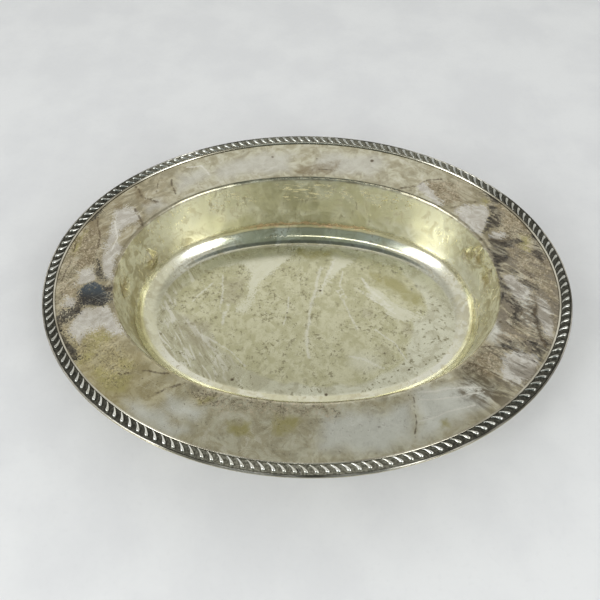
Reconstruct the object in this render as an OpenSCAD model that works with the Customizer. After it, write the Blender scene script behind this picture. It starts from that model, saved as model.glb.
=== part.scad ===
// Oval open serving dish in silver plate, with a soldered gadroon border.
// Frame: +X along the length, +Y across the width, +Z up. The flat of the
// floor stands on Z = 0, and the origin is the middle of that flat.

/* [Dish] */
// Length over the rim
outer_length = 305; // [250:1:380]
// Width over the rim
outer_width = 240.6; // [205:0.2:300]
// Thickness of the pressed sheet
sheet = 1; // [0.7:0.1:1.6]
// Depth from the mouth of the well to the floor
well_depth = 41.3; // [30:0.1:55]
// Width from the edge of the rim to the mouth of the well
rim_width = 38; // [30:0.5:44]
// How far the flange falls from its border to the mouth
flange_fall = 0.3; // [0:0.1:2]
// How much fuller than an ellipse the mouth is between its axes, in percent
mouth_fullness = 1.4; // [0:0.1:3]
// How much fuller than an ellipse the floor is between its axes, in percent
floor_fullness = 3.5; // [0:0.1:6]

/* [Well] */
// Radius of the bend from the flange into the wall
bend_radius = 2.5; // [2:0.1:5]
// Steepness of the wall above the horizontal at the sides, in degrees
side_slope = 70; // [62:1:82]
// Steepness of the wall above the horizontal at the ends, in degrees
end_slope = 80; // [62:1:84]
// Radius of the sweep from the wall into the floor
sweep_radius = 14; // [8:0.5:18]

/* [Border] */
// Lobes on the left half of the border
left_lobes = 83; // [60:1:90]
// Lobes on the right half of the border
right_lobes = 82; // [60:1:90]
// Height of the lobes' crests above the flange
lobe_height = 1.8; // [1.2:0.1:3]
// How far a lobe's inner end runs ahead of its outer end, in lobes
lobe_lean = 0.8; // [0:0.05:1.2]
// Width of the band of lobes
lobe_band = 4.8; // [3:0.1:7]
// Width of the plain wire outside the lobes
edge_wire_width = 1; // [0.6:0.1:2]
// Height of the plain wire outside the lobes
edge_wire_height = 0.8; // [0.4:0.1:1.2]
// Width of the plain bead inside the lobes
bead_width = 1.3; // [0.8:0.1:2]
// Height of the plain bead inside the lobes
bead_height = 0.9; // [0.5:0.1:1.2]
// Thickness of the solder between strips and in the two joins
solder_gap = 0.1; // [0.05:0.05:0.3]

/* [Hidden] */

// Stations round the dish, and the finer steps that measure its perimeter
stations = 120;
perimeter_steps = 720;
// Points across one lobe, from one valley to the next
lobe_points = 4;
// Share of the full height at each of those points
lobe_shape = [0.35, 0.88, 1, 0.88];
// Places across the band of lobes, 0 outside and 1 inside, with the crest's height there
band_place = [0, 0.22, 0.55, 1];
band_crest = [0.5, 1, 0.86, 0.5];
// Facets in the bend and in the sweep
bend_facets = 3;
sweep_facets = 4;

half_length = outer_length / 2;
half_width = outer_width / 2;
mouth_z = sheet + well_depth;
rim_z = mouth_z + flange_fall;
lobe_start = edge_wire_width + 2 * solder_gap;
bead_start = lobe_start + lobe_band + solder_gap;
border_width = bead_start + bead_width + solder_gap;

// Point on the rim at an angle of its ellipse, and the outward normal there
function rim_point(t) = [half_length * cos(t), half_width * sin(t)];
function rim_normal(t) =
    let (n = [half_width * cos(t), half_length * sin(t)])
    n / norm(n);

// Point a given distance inside the rim, measured square to it
function inside_rim(t, inset) = rim_point(t) - inset * rim_normal(t);

// Growth of a loop at this angle and inset, from none at the border to the full floor
function swell_at(t, inset) =
    let (fullness = [
        [border_width, 0],
        [rim_width, mouth_fullness],
        [floor_inset(side_slope), floor_fullness]
    ])
    1 + lookup(inset, fullness) / 100 * (1 - cos(4 * t)) / 2;

// Loop of points round the dish from its section at the ends, e, and at the sides, s, each [inset, height]
function ring(e, s) =
    [
        for (i = [0:stations - 1])
            let (t = 360 * i / stations)
            let (swell = swell_at(t, s[0]))
            [
                (half_length - e[0]) * cos(t) * swell,
                (half_width - s[0]) * sin(t) * swell,
                s[1] + (e[1] - s[1]) * pow(cos(t), 2)
            ]
    ];

// Distance along the rim against the ellipse's angle, added up in short steps
perimeter_table = [
    for (
        i = 0, run = 0;
        i <= perimeter_steps;
        run = run + norm(rim_point(360 * (i + 1) / perimeter_steps) - rim_point(360 * i / perimeter_steps)),
        i = i + 1
    )
        [run, 360 * i / perimeter_steps]
];
perimeter = perimeter_table[perimeter_steps][0];
function angle_at(run) =
    let (turns = floor(run / perimeter))
    lookup(run - turns * perimeter, perimeter_table) + 360 * turns;

// Quads between neighbouring rings, each ring a closed loop of count points
function loop_quads(rings, count) =
    [
        for (r = [0:rings - 2])
            for (i = [0:count - 1])
                let (j = (i + 1) % count)
                [r * count + i, r * count + j, (r + 1) * count + j, (r + 1) * count + i]
    ];

// Distance from the edge of the rim to the flat of the floor, where the wall has this slope
function floor_inset(slope) =
    let (wall_drop = well_depth - (bend_radius + sweep_radius) * (1 - cos(slope)))
    rim_width + (bend_radius + sweep_radius) * sin(slope) + wall_drop / tan(slope);

// Upper face of the sheet from the rim to the floor, as [inset, height]
function upper_profile(slope) = concat(
    [[0, rim_z], [border_width, rim_z]],
    [
        for (i = [0:bend_facets])
            let (a = slope * i / bend_facets)
            [rim_width + bend_radius * sin(a), mouth_z - bend_radius * (1 - cos(a))]
    ],
    [
        for (i = [0:sweep_facets])
            let (a = slope * (1 - i / sweep_facets))
            [floor_inset(slope) - sweep_radius * sin(a), sheet + sweep_radius * (1 - cos(a))]
    ]
);

// Lower face of the sheet from the floor back to the rim, one thickness away
function lower_profile(slope) = concat(
    [
        for (i = [sweep_facets:-1:0])
            let (a = slope * (1 - i / sweep_facets))
            [
                floor_inset(slope) - (sweep_radius + sheet) * sin(a),
                sheet + sweep_radius - (sweep_radius + sheet) * cos(a)
            ]
    ],
    [
        for (i = [bend_facets:-1:0])
            let (a = slope * i / bend_facets)
            [
                rim_width + (bend_radius - sheet) * sin(a),
                mouth_z - bend_radius + (bend_radius - sheet) * cos(a)
            ]
    ],
    [[border_width, rim_z - sheet], [0, rim_z - sheet]]
);

// A strip bent round the rim: its closed section is a list of [inset, height]
module bent_strip(section) {
    rings = len(section);
    points = [
        for (s = section)
            for (i = [0:stations - 1])
                let (p = inside_rim(360 * i / stations, s[0]))
                [p.x, p.y, s[1]]
    ];
    closing = [
        for (i = [0:stations - 1])
            let (j = (i + 1) % stations)
            [(rings - 1) * stations + i, (rings - 1) * stations + j, j, i]
    ];
    polyhedron(points, concat(loop_quads(rings, stations), closing), convexity = 4);
}

// Section of a plain wire with a flat underside
function wire_section(inset, width, height) =
    [
        [inset, rim_z],
        [inset, rim_z + 0.5 * height],
        [inset + 0.3 * width, rim_z + height],
        [inset + 0.7 * width, rim_z + height],
        [inset + width, rim_z + 0.5 * height],
        [inset + width, rim_z]
    ];

// A run of lobes: one section across the band at every lobe point along it
module lobe_run(run_start, run_end, lobes, heights) {
    columns = lobes * lobe_points;
    pitch = perimeter / (left_lobes + right_lobes);
    across = len(band_place);
    section_points = across + 2;
    points = [
        for (k = [0:columns])
            let (run = run_start + (run_end - run_start) * k / columns)
            let (outer = inside_rim(angle_at(run), lobe_start))
            let (inner = inside_rim(angle_at(run - lobe_lean * pitch), lobe_start + lobe_band))
            let (share = heights[k % len(heights)])
            for (c = [-1:across])
                let (place = band_place[max(0, min(across - 1, c))])
                let (p = outer + place * (inner - outer))
                let (rise = (c < 0 || c == across) ? 0 : lobe_height * share * band_crest[c])
                [p.x, p.y, rim_z + rise]
    ];
    skin = [
        for (k = [0:columns - 1])
            for (c = [0:section_points - 1])
                let (d = (c + 1) % section_points)
                let (base = k * section_points)
                let (next = base + section_points)
                [base + c, base + d, next + d, next + c]
    ];
    first_end = [for (c = [section_points - 1:-1:0]) c];
    last_end = [for (c = [0:section_points - 1]) columns * section_points + c];
    polyhedron(points, concat(skin, [first_end, last_end]), convexity = 10);
}

// Where the two joins cross the rim, measured anticlockwise from +X
back_join = perimeter / 4;
front_join = 3 * perimeter / 4;

module dish_body() {
    end_profile = concat(upper_profile(end_slope), lower_profile(end_slope));
    side_profile = concat(upper_profile(side_slope), lower_profile(side_slope));
    upper = len(upper_profile(side_slope));
    count = len(side_profile);
    points = [for (k = [0:count - 1]) each ring(end_profile[k], side_profile[k])];
    quads = loop_quads(count, stations);
    floor_gap = [for (q = [0:len(quads) - 1]) if (floor(q / stations) != upper - 1) quads[q]];
    rim_edge = [
        for (i = [0:stations - 1])
            let (j = (i + 1) % stations)
            [(count - 1) * stations + i, (count - 1) * stations + j, j, i]
    ];
    floor_top = [for (i = [0:stations - 1]) (upper - 1) * stations + i];
    floor_underside = [for (i = [stations - 1:-1:0]) upper * stations + i];
    color([0.76, 0.74, 0.63])
        polyhedron(points, concat(floor_gap, rim_edge, [floor_top, floor_underside]), convexity = 6);
}

module gadroon_border_left() {
    color([0.70, 0.70, 0.68])
        lobe_run(back_join + solder_gap, front_join - solder_gap, left_lobes, lobe_shape);
}

module gadroon_border_right() {
    color([0.66, 0.66, 0.64])
        lobe_run(front_join + solder_gap - perimeter, back_join - solder_gap, right_lobes, lobe_shape);
}

module join_solder(run) {
    color([0.52, 0.52, 0.50])
        lobe_run(run - solder_gap, run + solder_gap, 1 / lobe_points, [lobe_shape[0]]);
}

module join_solder_front() {
    join_solder(front_join);
}

module join_solder_back() {
    join_solder(back_join);
}

module bead_wire() {
    color([0.80, 0.80, 0.76])
        bent_strip(wire_section(bead_start, bead_width, bead_height));
}

module edge_wire() {
    color([0.82, 0.82, 0.78])
        bent_strip(wire_section(solder_gap, edge_wire_width, edge_wire_height));
}

dish_body();
gadroon_border_left();
gadroon_border_right();
join_solder_front();
join_solder_back();
bead_wire();
edge_wire();
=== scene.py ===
import math

import bpy
import numpy as np
from mathutils import Matrix, Vector


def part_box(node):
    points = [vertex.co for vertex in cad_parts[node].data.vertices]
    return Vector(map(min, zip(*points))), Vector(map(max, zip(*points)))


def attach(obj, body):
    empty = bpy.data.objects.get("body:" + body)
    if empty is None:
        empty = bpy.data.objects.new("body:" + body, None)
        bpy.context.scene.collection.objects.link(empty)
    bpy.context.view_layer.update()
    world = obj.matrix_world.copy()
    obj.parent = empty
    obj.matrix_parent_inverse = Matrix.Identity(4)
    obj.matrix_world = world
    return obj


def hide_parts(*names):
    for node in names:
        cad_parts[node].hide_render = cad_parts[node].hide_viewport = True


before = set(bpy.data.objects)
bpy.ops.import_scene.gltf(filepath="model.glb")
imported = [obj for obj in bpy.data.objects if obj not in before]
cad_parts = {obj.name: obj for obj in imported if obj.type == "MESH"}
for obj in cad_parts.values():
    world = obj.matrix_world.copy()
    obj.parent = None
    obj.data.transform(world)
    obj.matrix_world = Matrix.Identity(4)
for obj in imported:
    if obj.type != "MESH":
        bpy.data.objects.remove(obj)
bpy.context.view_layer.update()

MM = 0.001

# ---------------- sizes, from the frame
BODY_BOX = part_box("dish_body")
BORDER_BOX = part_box("gadroon_border_right")
BEAD_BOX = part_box("bead_wire")
EDGE_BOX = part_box("edge_wire")

HALF_LENGTH = BODY_BOX[1].x
HALF_WIDTH = BODY_BOX[1].y
RIM_Z = BODY_BOX[1].z
CREST_Z = BORDER_BOX[1].z
LOBE_START = HALF_LENGTH - BORDER_BOX[1].x
BEAD_START = HALF_LENGTH - BEAD_BOX[1].x
EDGE_START = HALF_LENGTH - EDGE_BOX[1].x
BEAD_HEIGHT = BEAD_BOX[1].z - RIM_Z
EDGE_HEIGHT = EDGE_BOX[1].z - RIM_Z

# The dish's own proportions, which the boxes don't give
SHEET = 1.0 * MM
RIM_WIDTH = 38.0 * MM
FLANGE_FALL = 0.3 * MM
BEND_RADIUS = 2.5 * MM
SIDE_SLOPE = math.radians(70)
END_SLOPE = math.radians(80)
SWEEP_RADIUS = 14.0 * MM
MOUTH_FULLNESS = 0.014
FLOOR_FULLNESS = 0.035
SOLDER_GAP = 0.1 * MM
EDGE_WIDTH = LOBE_START - EDGE_START - SOLDER_GAP
LOBE_BAND = BEAD_START - LOBE_START - SOLDER_GAP
BEAD_WIDTH = 1.3 * MM
BORDER_WIDTH = BEAD_START + BEAD_WIDTH + SOLDER_GAP
MOUTH_Z = RIM_Z - FLANGE_FALL
# Height in millimetres at which the side wall meets the bend at its foot.
WALL_FOOT = (SHEET + SWEEP_RADIUS * (1 - math.cos(SIDE_SLOPE))) / MM
LOBES = {"left": 83, "right": 82}
LOBE_LEAN = 0.7
LOBE_COLUMNS = 26
# Along a lobe, 0 is the band's outer edge and 1 its inner edge. Half widths are shares of the pitch.
HEAD_LENGTH = 0.20
HEAD_END = 0.30
TAIL_START = 0.42
LOBE_HALF = 0.27
FULLNESS_BY_INSET = ([BORDER_WIDTH, RIM_WIDTH, RIM_WIDTH + 26.6 * MM], [0, MOUTH_FULLNESS, FLOOR_FULLNESS])

# ---------------- wear, painted sheen and painted reflection on the sheet, in millimetres
# Each patch is an outline seen from above.
# Pale patches: polished plate, partly painted reflection.
LIGHT = [
    [(91, 54), (97, 57), (105, 59), (112, 59), (114, 55), (111, 44), (109, 38), (107, 34), (102, 40),
     (96, 48)],
    [(70, 75), (75, 77), (78, 73), (81, 66), (86, 58), (79, 62), (72, 69)],
    [(112, 31.5), (116, 36), (122, 37), (122, 34), (118, 31.5)],
    [(118, -49), (124, -50), (125, -54), (120, -61), (112, -68), (106, -65), (104, -58), (107, -51),
     (113, -48)],
    [(132, -11), (136, -15), (138, -28), (136, -38), (132, -37), (131, -22)],
    [(116, 2), (121, 4), (126, -2), (129, -9), (124, -14), (119, -10), (116, -5)],
    [(-122, 49), (-116, 52), (-110, 49), (-106, 43), (-110, 37), (-115, 31), (-118, 22), (-122, 14),
     (-122, 28), (-120, 40)],
    [(-116, 22), (-113, 18), (-114, 6), (-114, -5), (-118, -4), (-121, 6), (-120, 18)],
    [(-133, 1), (-127, 1), (-124, -4), (-125, -8), (-132, -10)],
    [(-128, -28), (-118, -26), (-111, -25), (-106, -33), (-100, -42), (-105, -43), (-112, -37),
     (-119, -41), (-122, -50), (-129, -42)],
    [(-137, -20), (-131, -20), (-131, -25), (-137, -26)],
    [(-48, 41), (-38, 47), (-20, 50), (-9, 49), (-17, 40), (-28, 31), (-33, 20), (-36, 9), (-40, 0),
     (-45, 4), (-39, 12), (-37, 24), (-37, 30), (-41, 37)],
    [(18, 50), (36, 48), (30, 43), (23, 39), (17, 30), (13, 24), (16, 38)],
    [(36, 29), (42, 24), (52, 15), (60, 9), (68, 3), (77, 0), (66, -3), (60, -4), (52, 4), (44, 14)],
    [(-74, 36), (-66, 34), (-60, 36), (-46, 42), (-52, 44), (-66, 41)],
]
# Painted sheen: soft pale patches whose colour stands in for reflections on polished places.
PAINTED_SHEEN = [
    [(-90, -83), (-80, -84), (-66, -92), (-56, -98), (-66, -101), (-84, -92)],
    [(-52, 96), (-30, 103), (-12, 104), (-14, 86), (-34, 84), (-60, 78), (-62, 86)],
    [(10, 104), (48, 101), (52, 94), (40, 84), (18, 86), (4, 88), (4, 98)],
    [(-84, 80), (-72, 88), (-66, 82), (-74, 73), (-84, 66)],
    [(-100, 48), (-90, 54), (-95, 59), (-103, 53)],
    [(58, -74), (70, -70), (88, -68), (98, -71), (92, -80), (76, -90), (62, -98), (59, -100)],
    [(10, -88), (40, -86), (54, -80), (55, -98), (40, -106), (10, -106)],
    [(-70, -80), (-50, -86), (-54, -92), (-70, -88)],
    [(30, -28), (40, -27), (47, -33), (44, -39), (34, -40), (27, -35)],
    [(120, -8), (130, -12), (128, -34), (122, -30)],
    [(104, -30), (112, -30), (112, -40), (102, -42)],
]
DARK = [
    [(115, 58), (118, 60), (122, 53), (119, 45), (116, 41), (110, 36), (110, 40), (114, 50)],
    [(112, 70), (117, 69), (123, 60), (118, 60), (114, 66)],
    [(111, 30), (121, 31), (128, 31), (134, 29), (126, 26), (119, 25), (120, 19), (116, 12), (115, 6),
     (112, 0), (111, 10)],
    [(113, -1), (116, -6), (113, -14), (109, -20), (108, -10), (110, -2)],
    [(120, 7), (126, 3), (133, -2), (134, -6), (128, -4), (121, 4)],
    [(118, -11), (122, -19), (119, -28), (115, -30), (118, -20), (115, -13)],
    [(129, -18), (131, -30), (131, -42), (129, -44), (128, -32)],
    [(121, -41), (127, -44), (131, -42), (131, -47), (126, -54), (123, -47)],
    [(105, -43), (113, -41), (119, -42), (120, -48), (112, -47), (103, -46)],
    [(136, 34), (141, 34), (142, 22), (139, 12), (137, 18), (138, 26)],
    [(-129, -16), (-126, -24), (-128, -29), (-134, -37), (-135, -45), (-140, -38), (-137, -29),
     (-131, -24)],
    [(-134, -40), (-128, -50), (-121, -58), (-124, -61), (-131, -54), (-138, -44)],
    [(-124, 8), (-122, 3), (-118, -4), (-121, -5), (-124, -2)],
    [(-131, 53), (-130, 46), (-134, 39), (-139, 38), (-135, 47)],
    [(-118, -9), (-112, -12), (-110, -22), (-113, -22), (-116, -14)],
]
SLATE = [
    [(-127, -9), (-124, -7), (-118, -9), (-115, -14), (-111, -21), (-113, -25), (-119, -24), (-127, -24),
     (-130, -17)],
]
OLIVE = [
    [(-119, -42), (-112, -40), (-104, -45), (-110, -52), (-115, -58), (-121, -62), (-119, -52)],
    [(-112, -64), (-100, -66), (-91, -68), (-92, -78), (-100, -78), (-112, -68)],
    [(-54, -79), (-45, -80), (-46, -83), (-53, -83)],
    [(-38, -92), (-31, -94), (-26, -93), (-25, -100), (-33, -101), (-37, -97)],
    [(-14, -87), (-2, -90), (-2, -98), (-14, -98)],
    [(69, -90), (72, -90), (72, -93), (69, -93)],
    [(112, 66), (116, 61), (112, 58)],
    [(130, 34), (136, 33), (135, 22), (130, 21)],
    [(-139, 30), (-137, 30), (-138, 12), (-141, 12)],
    [(-8, 53), (14, 53), (18, 48), (2, 46), (-8, 48)],
    [(40, 36), (52, 34), (64, 27), (72, 17), (76, 8), (68, 8), (58, 20), (46, 26)],
    [(-98, -58), (-90, -58), (-90, -64), (-97, -64)],
]
BROWN = [
    [(-140, 44), (-130, 42), (-126, 24), (-126, 6), (-134, 2), (-141, 8), (-141, 26)],
    [(-127, 38), (-123, 37), (-124, 26), (-127, 30)],
    [(-114, 70), (-108, 66), (-102, 58), (-96, 55), (-102, 53), (-110, 60)],
    [(-126, 54), (-120, 56), (-117, 52), (-124, 50)],
    [(-113, 52), (-107, 46), (-101, 34), (-104, 33), (-109, 42)],
    [(-141, -6), (-130, -10), (-132, -19), (-142, -18)],
    [(118, 58), (124, 60), (136, 44), (134, 38), (122, 38), (120, 46)],
    [(122, 30), (134, 26), (146, 18), (146, -8), (138, -20), (134, -8), (126, 6), (120, 18)],
    [(108, -30), (120, -30), (122, -41), (104, -43)],
    [(90, -52), (104, -48), (106, -58), (100, -64), (92, -58)],
    [(78, 79), (92, 79), (98, 70), (98, 62), (86, 60), (80, 66), (77, 73)],
    [(-56, 27), (-41, 29), (-39, 18), (-44, 7), (-54, 8)],
    [(-84, -4), (-70, -2), (-60, -10), (-56, -28), (-66, -28), (-78, -16)],
    [(44, -22), (52, -20), (54, -34), (48, -36)],
    [(34, 6), (42, 6), (42, -1), (36, -1)],
    [(60, -4), (66, -6), (67, -14), (60, -12)],
    [(54, 30), (62, 29), (66, 24), (58, 23)],
    [(20, 97), (10, 94), (-8, 92), (-8, 84), (14, 84), (18, 90)],
]
SPECKLE = [
    [(-146, 30), (-128, 34), (-121, 12), (-126, -6), (-128, -30), (-118, -60), (-140, -42), (-147, 0)],
    [(-126, -30), (-104, -44), (-88, -62), (-98, -76), (-120, -60), (-130, -44)],
    [(118, 66), (146, 30), (146, -24), (126, -48), (104, -46), (110, -28), (124, 0), (122, 24), (112, 46)],
    [(96, -46), (118, -40), (112, -56), (104, -64), (84, -60)],
    [(72, 80), (98, 80), (98, 62), (84, 58)],
    [(-60, -74), (20, -80), (20, -88), (-50, -88)],
]
GLAZE = [
    [(84, -58), (104, -44), (128, -46), (122, -66), (98, -82), (78, -76)],
    [(112, 34), (136, 44), (147, 20), (147, -20), (128, -46), (112, -50), (106, -30), (114, 0)],
]
MOTTLE = [
    [(-8, 53), (18, 53), (38, 48), (60, 40), (71, 28), (77, 12), (77, 0), (68, -3), (66, -14), (62, -30),
     (52, -40), (35, -48), (15, -51), (-10, -49), (-30, -44), (-44, -34), (-54, -22), (-62, -12), (-74, -6),
     (-86, 2), (-84, 16), (-70, 30), (-52, 39), (-30, 42), (-18, 46)],
]
# Strokes are centre lines seen from above with a half width: dark creases, then pale wipe marks.
DARK_STROKES = [
    ([(57, -74), (57, -84)], 0.5), ([(57, -84), (56.5, -98)], 0.35),
    ([(87, -56), (95, -58), (103, -63)], 0.45), ([(96, -46), (104, -45), (119, -48)], 0.4),
    ([(90, 56), (99, 58), (107, 62)], 0.6), ([(60, 73), (70, 75), (78, 80), (90, 81)], 0.6),
    ([(50, 63), (55, 68), (60, 73)], 0.8), ([(-131, 40), (-127, 26), (-126, 14)], 0.5),
    ([(-98, -67), (-82, -65), (-70, -66)], 0.5), ([(-80, -79), (-70, -75), (-60, -71)], 0.6),
    ([(-113, 70), (-106, 60), (-96, 56)], 0.9), ([(-110, 50), (-104, 40), (-100, 32)], 0.7),
    ([(137, 19), (141, 11)], 0.6), ([(112, 30.5), (128, 31)], 0.7), ([(-4, 86), (-2, 76)], 0.5),
    ([(101, 30), (109, 31)], 0.6), ([(-90, 76), (-86, 64)], 0.6), ([(-98, 78), (-99, 60)], 0.4),
    ([(2, 88), (16, 88)], 0.5), ([(-142, -8), (-140, 20), (-137, 34)], 0.5),
    ([(120, 18), (130, 6), (134, -4)], 0.5), ([(122, -22), (118, -30), (108, -29)], 0.5),
    ([(130, -14), (128, -30), (130, -44)], 0.8),
]
PALE_STROKES = [
    ([(9, 38), (7, 24), (3, 6), (1, -14), (2, -31)], 1.1), ([(18, 44), (13, 30), (9, 16)], 0.9),
    ([(20, 19), (25, 8), (33, -10)], 0.7), ([(24, 36), (22, 24), (26, 14)], 0.5),
    ([(36, 30), (44, 18), (56, 6)], 0.9), ([(-56, 30), (-55, 14), (-55, 2)], 0.7),
    ([(-50, 7), (-52, -3), (-53, -8)], 1.4), ([(-74, 8), (-68, 16), (-62, 24)], 0.6),
    ([(-62, -18), (-48, -26), (-36, -38)], 0.7), ([(-70, -10), (-62, -22), (-52, -32)], 0.6),
    ([(-11, 14), (-12, 2), (-14, -8)], 0.5), ([(28, -30), (38, -32), (48, -38)], 0.9),
    ([(32, 22), (44, 12), (58, 2)], 0.5), ([(44, -10), (56, -20), (62, -32)], 0.5),
    ([(60, -74), (76, -71), (92, -70)], 0.5), ([(60, -78), (80, -76), (94, -72)], 0.4),
    ([(58, -90), (70, -86), (88, -80)], 0.4), ([(-120, 40), (-116, 26), (-118, 16)], 0.5),
    ([(-82, 88), (-72, 90), (-66, 82)], 0.6),
]
SPOTS = [
    (-43, -47.5, 0.9), (49, -27, 0.5), (42, 97.5, 1.0), (-25, 99.5, 0.6),
    (13, -56, 0.8), (63, -38, 0.6), (-12, 1, 0.6), (9, 19, 0.7),
]
# Three kinds of patch, wear and painted sheen among them, are stored together under each name.
WEAR_AND_SHEEN = {"wear_and_sheen_a": (LIGHT, DARK, OLIVE), "wear_b": (SPECKLE, SLATE, BROWN), "wear_and_sheen_c": (MOTTLE, PAINTED_SHEEN, GLAZE)}
# Creased dents fall at random within these stretches of the wall:
# degrees anticlockwise from the right end, heights, and how many.
BRUISES = [((0, 30), (20, 34), 4), ((150, 180), (16, 30), 2)]
CREASE_SEED = 7
CREASE_RADII = (9, 12)
CREASE_DEPTHS = (-2.8, 2.2)
# Ripples in the wall: height, turns round the dish, millimetres up the wall, and start.
RIPPLES = [(0.05, 13, 9, 0), (0.04, 29, -5, 1.3), (0.035, 47, 3.5, 0.4), (0.03, 9, 2.6, 0)]
# Shallow dents fall anywhere round the wall.
SHALLOW_SEED = 12
SHALLOW_DENTS = 12
SHALLOW_HEIGHTS = (18, 36)
SHALLOW_RADII = (6, 9)
SHALLOW_DEPTH = 0.3
# How far from an outline, in millimetres, and from a stroke, in half widths, the fields reach.
PATCH_REACH = 12.0
STROKE_REACH = 20
FAR_AWAY = 1e9
# Points round the sheet and the wires, and the steps across each part.
SHEET_STATIONS = 640
WIRE_STATIONS = 960
LOBE_ROWS = 22
FLANGE_STEPS = 40
BEND_STEPS = 10
WALL_STEPS = 14
UNDER_WALL_STEPS = 5
SWEEP_STEPS = 26
FLOOR_RINGS = 28
UNDER_FLOOR_RINGS = 4
WIRE_ARC_POINTS = 17
# The sheet stays true at the border, and its unevenness grows over this distance.
FADE_WIDTH = 8 * MM
# Half the width of the board under the dish, in metres.
BOARD_HALF = 3


# ---------------- the plan of the dish
def rim_point(angle):
    return np.stack([HALF_LENGTH * np.cos(angle), HALF_WIDTH * np.sin(angle)], -1)


def rim_normal(angle):
    across = np.stack([HALF_WIDTH * np.cos(angle), HALF_LENGTH * np.sin(angle)], -1)
    return across / np.linalg.norm(across, axis=-1, keepdims=True)


def inside_rim(angle, inset):
    """Points a distance inside the rim, measured square to it."""
    return rim_point(angle) - np.asarray(inset)[..., None] * rim_normal(angle)


def oval_points(angle, end_inset, side_inset, end_z, side_z):
    """Points on an oval inset from the rim by one amount at its ends and another at its sides."""
    fullness = np.interp(side_inset, *FULLNESS_BY_INSET)
    swell = 1 + fullness * (1 - np.cos(4 * angle)) / 2
    x = (HALF_LENGTH - end_inset) * np.cos(angle) * swell
    y = (HALF_WIDTH - side_inset) * np.sin(angle) * swell
    z = side_z + (end_z - side_z) * np.cos(angle) ** 2
    return np.column_stack([x, y, z])


PERIMETER_ANGLES = np.linspace(0, 2 * math.pi, 7201)
PERIMETER_RUN = np.concatenate(
    [[0], np.cumsum(np.linalg.norm(np.diff(rim_point(PERIMETER_ANGLES), axis=0), axis=1))]
)
PERIMETER = PERIMETER_RUN[-1]
PITCH = PERIMETER / sum(LOBES.values())


def angle_at(run):
    """The ellipse's angle at a distance along the rim, anticlockwise from +X."""
    turns = np.floor(run / PERIMETER)
    return np.interp(run - turns * PERIMETER, PERIMETER_RUN, PERIMETER_ANGLES) + 2 * math.pi * turns


# ---------------- meshes
def add_object(name, data):
    made = bpy.data.objects.new(name, data)
    bpy.context.scene.collection.objects.link(made)
    return made


def smooth_mesh(name, points, faces):
    mesh = bpy.data.meshes.new(name)
    mesh.from_pydata([tuple(p) for p in points], [], faces)
    mesh.validate()
    mesh.polygons.foreach_set("use_smooth", [True] * len(mesh.polygons))
    mesh.update()
    return add_object(name, mesh)


def finish_piece(piece, node, slot, *materials):
    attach(piece, "root")
    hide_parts(node)
    for material in materials:
        piece.data.materials.append(material)


def store(piece, name, values):
    """Keep one number, or three, for each point of a piece."""
    values = np.asarray(values, np.float32)
    kind, key = ("FLOAT", "value") if values.ndim == 1 else ("FLOAT_VECTOR", "vector")
    attribute = piece.data.attributes.new(name, kind, "POINT")
    attribute.data.foreach_set(key, values.ravel())


def ring_faces(rings, count, closed=True, around=True):
    """Quads between rings of count points, outward when the rings go round the section anticlockwise."""
    faces = []
    for r in range(rings if closed else rings - 1):
        a, b = r * count, ((r + 1) % rings) * count
        faces += [(a + i, b + i, b + (i + 1) % count, a + (i + 1) % count)
                  for i in range(count if around else count - 1)]
    return faces


def between(start, end, steps):
    """The points that part a straight line into equal steps."""
    return [[a + (b - a) * k / steps for a, b in zip(start, end)] for k in range(1, steps)]


def body_profile(slope):
    """The sheet's section at a wall slope, as [inset, height]: top inwards, then underside outwards."""
    bend = np.linspace(0, slope, BEND_STEPS + 1)
    sweep = np.linspace(slope, 0, SWEEP_STEPS + 1)
    well_depth = MOUTH_Z - SHEET
    bend_run = BEND_RADIUS * math.sin(slope)
    bend_drop = BEND_RADIUS * (1 - math.cos(slope))
    sweep_run = SWEEP_RADIUS * math.sin(slope)
    sweep_drop = SWEEP_RADIUS * (1 - math.cos(slope))
    wall_run = (well_depth - bend_drop - sweep_drop) / math.tan(slope)
    floor_inset = RIM_WIDTH + bend_run + wall_run + sweep_run
    flange = np.linspace(BORDER_WIDTH, RIM_WIDTH, FLANGE_STEPS)[:-1]
    flange_z = RIM_Z - FLANGE_FALL * (flange - BORDER_WIDTH) / (RIM_WIDTH - BORDER_WIDTH)
    top = [[0.0, RIM_Z], *zip(flange, flange_z)]
    top += [
        [RIM_WIDTH + BEND_RADIUS * math.sin(a), MOUTH_Z - BEND_RADIUS * (1 - math.cos(a))] for a in bend
    ]
    wall_top, wall_foot = top[-1], [floor_inset - sweep_run, SHEET + sweep_drop]
    top += between(wall_top, wall_foot, WALL_STEPS)
    top += [
        [floor_inset - SWEEP_RADIUS * math.sin(a), SHEET + SWEEP_RADIUS * (1 - math.cos(a))] for a in sweep
    ]
    outer = SWEEP_RADIUS + SHEET
    under = [
        [floor_inset - outer * math.sin(a), SHEET + SWEEP_RADIUS - outer * math.cos(a)] for a in sweep[::-2]
    ]
    inner = BEND_RADIUS - SHEET
    under_bend = [
        [RIM_WIDTH + inner * math.sin(a), MOUTH_Z - BEND_RADIUS + inner * math.cos(a)] for a in bend[::-2]
    ]
    under += between(under[-1], under_bend[0], UNDER_WALL_STEPS)
    under += under_bend
    under += [[BORDER_WIDTH, RIM_Z - SHEET], [0.0, RIM_Z - SHEET]]
    return np.array(top), np.array(under)


def wall_place(degrees, height):
    """A place on the wall in millimetres, this far round from the right end."""
    drop = MOUTH_Z - height * MM
    end_inset = RIM_WIDTH + BEND_RADIUS / 2 + drop / math.tan(END_SLOPE)
    side_inset = RIM_WIDTH + BEND_RADIUS / 2 + drop / math.tan(SIDE_SLOPE)
    angle = np.array([math.radians(degrees)])
    return oval_points(angle, end_inset, side_inset, height * MM, height * MM)[0] / MM


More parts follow.
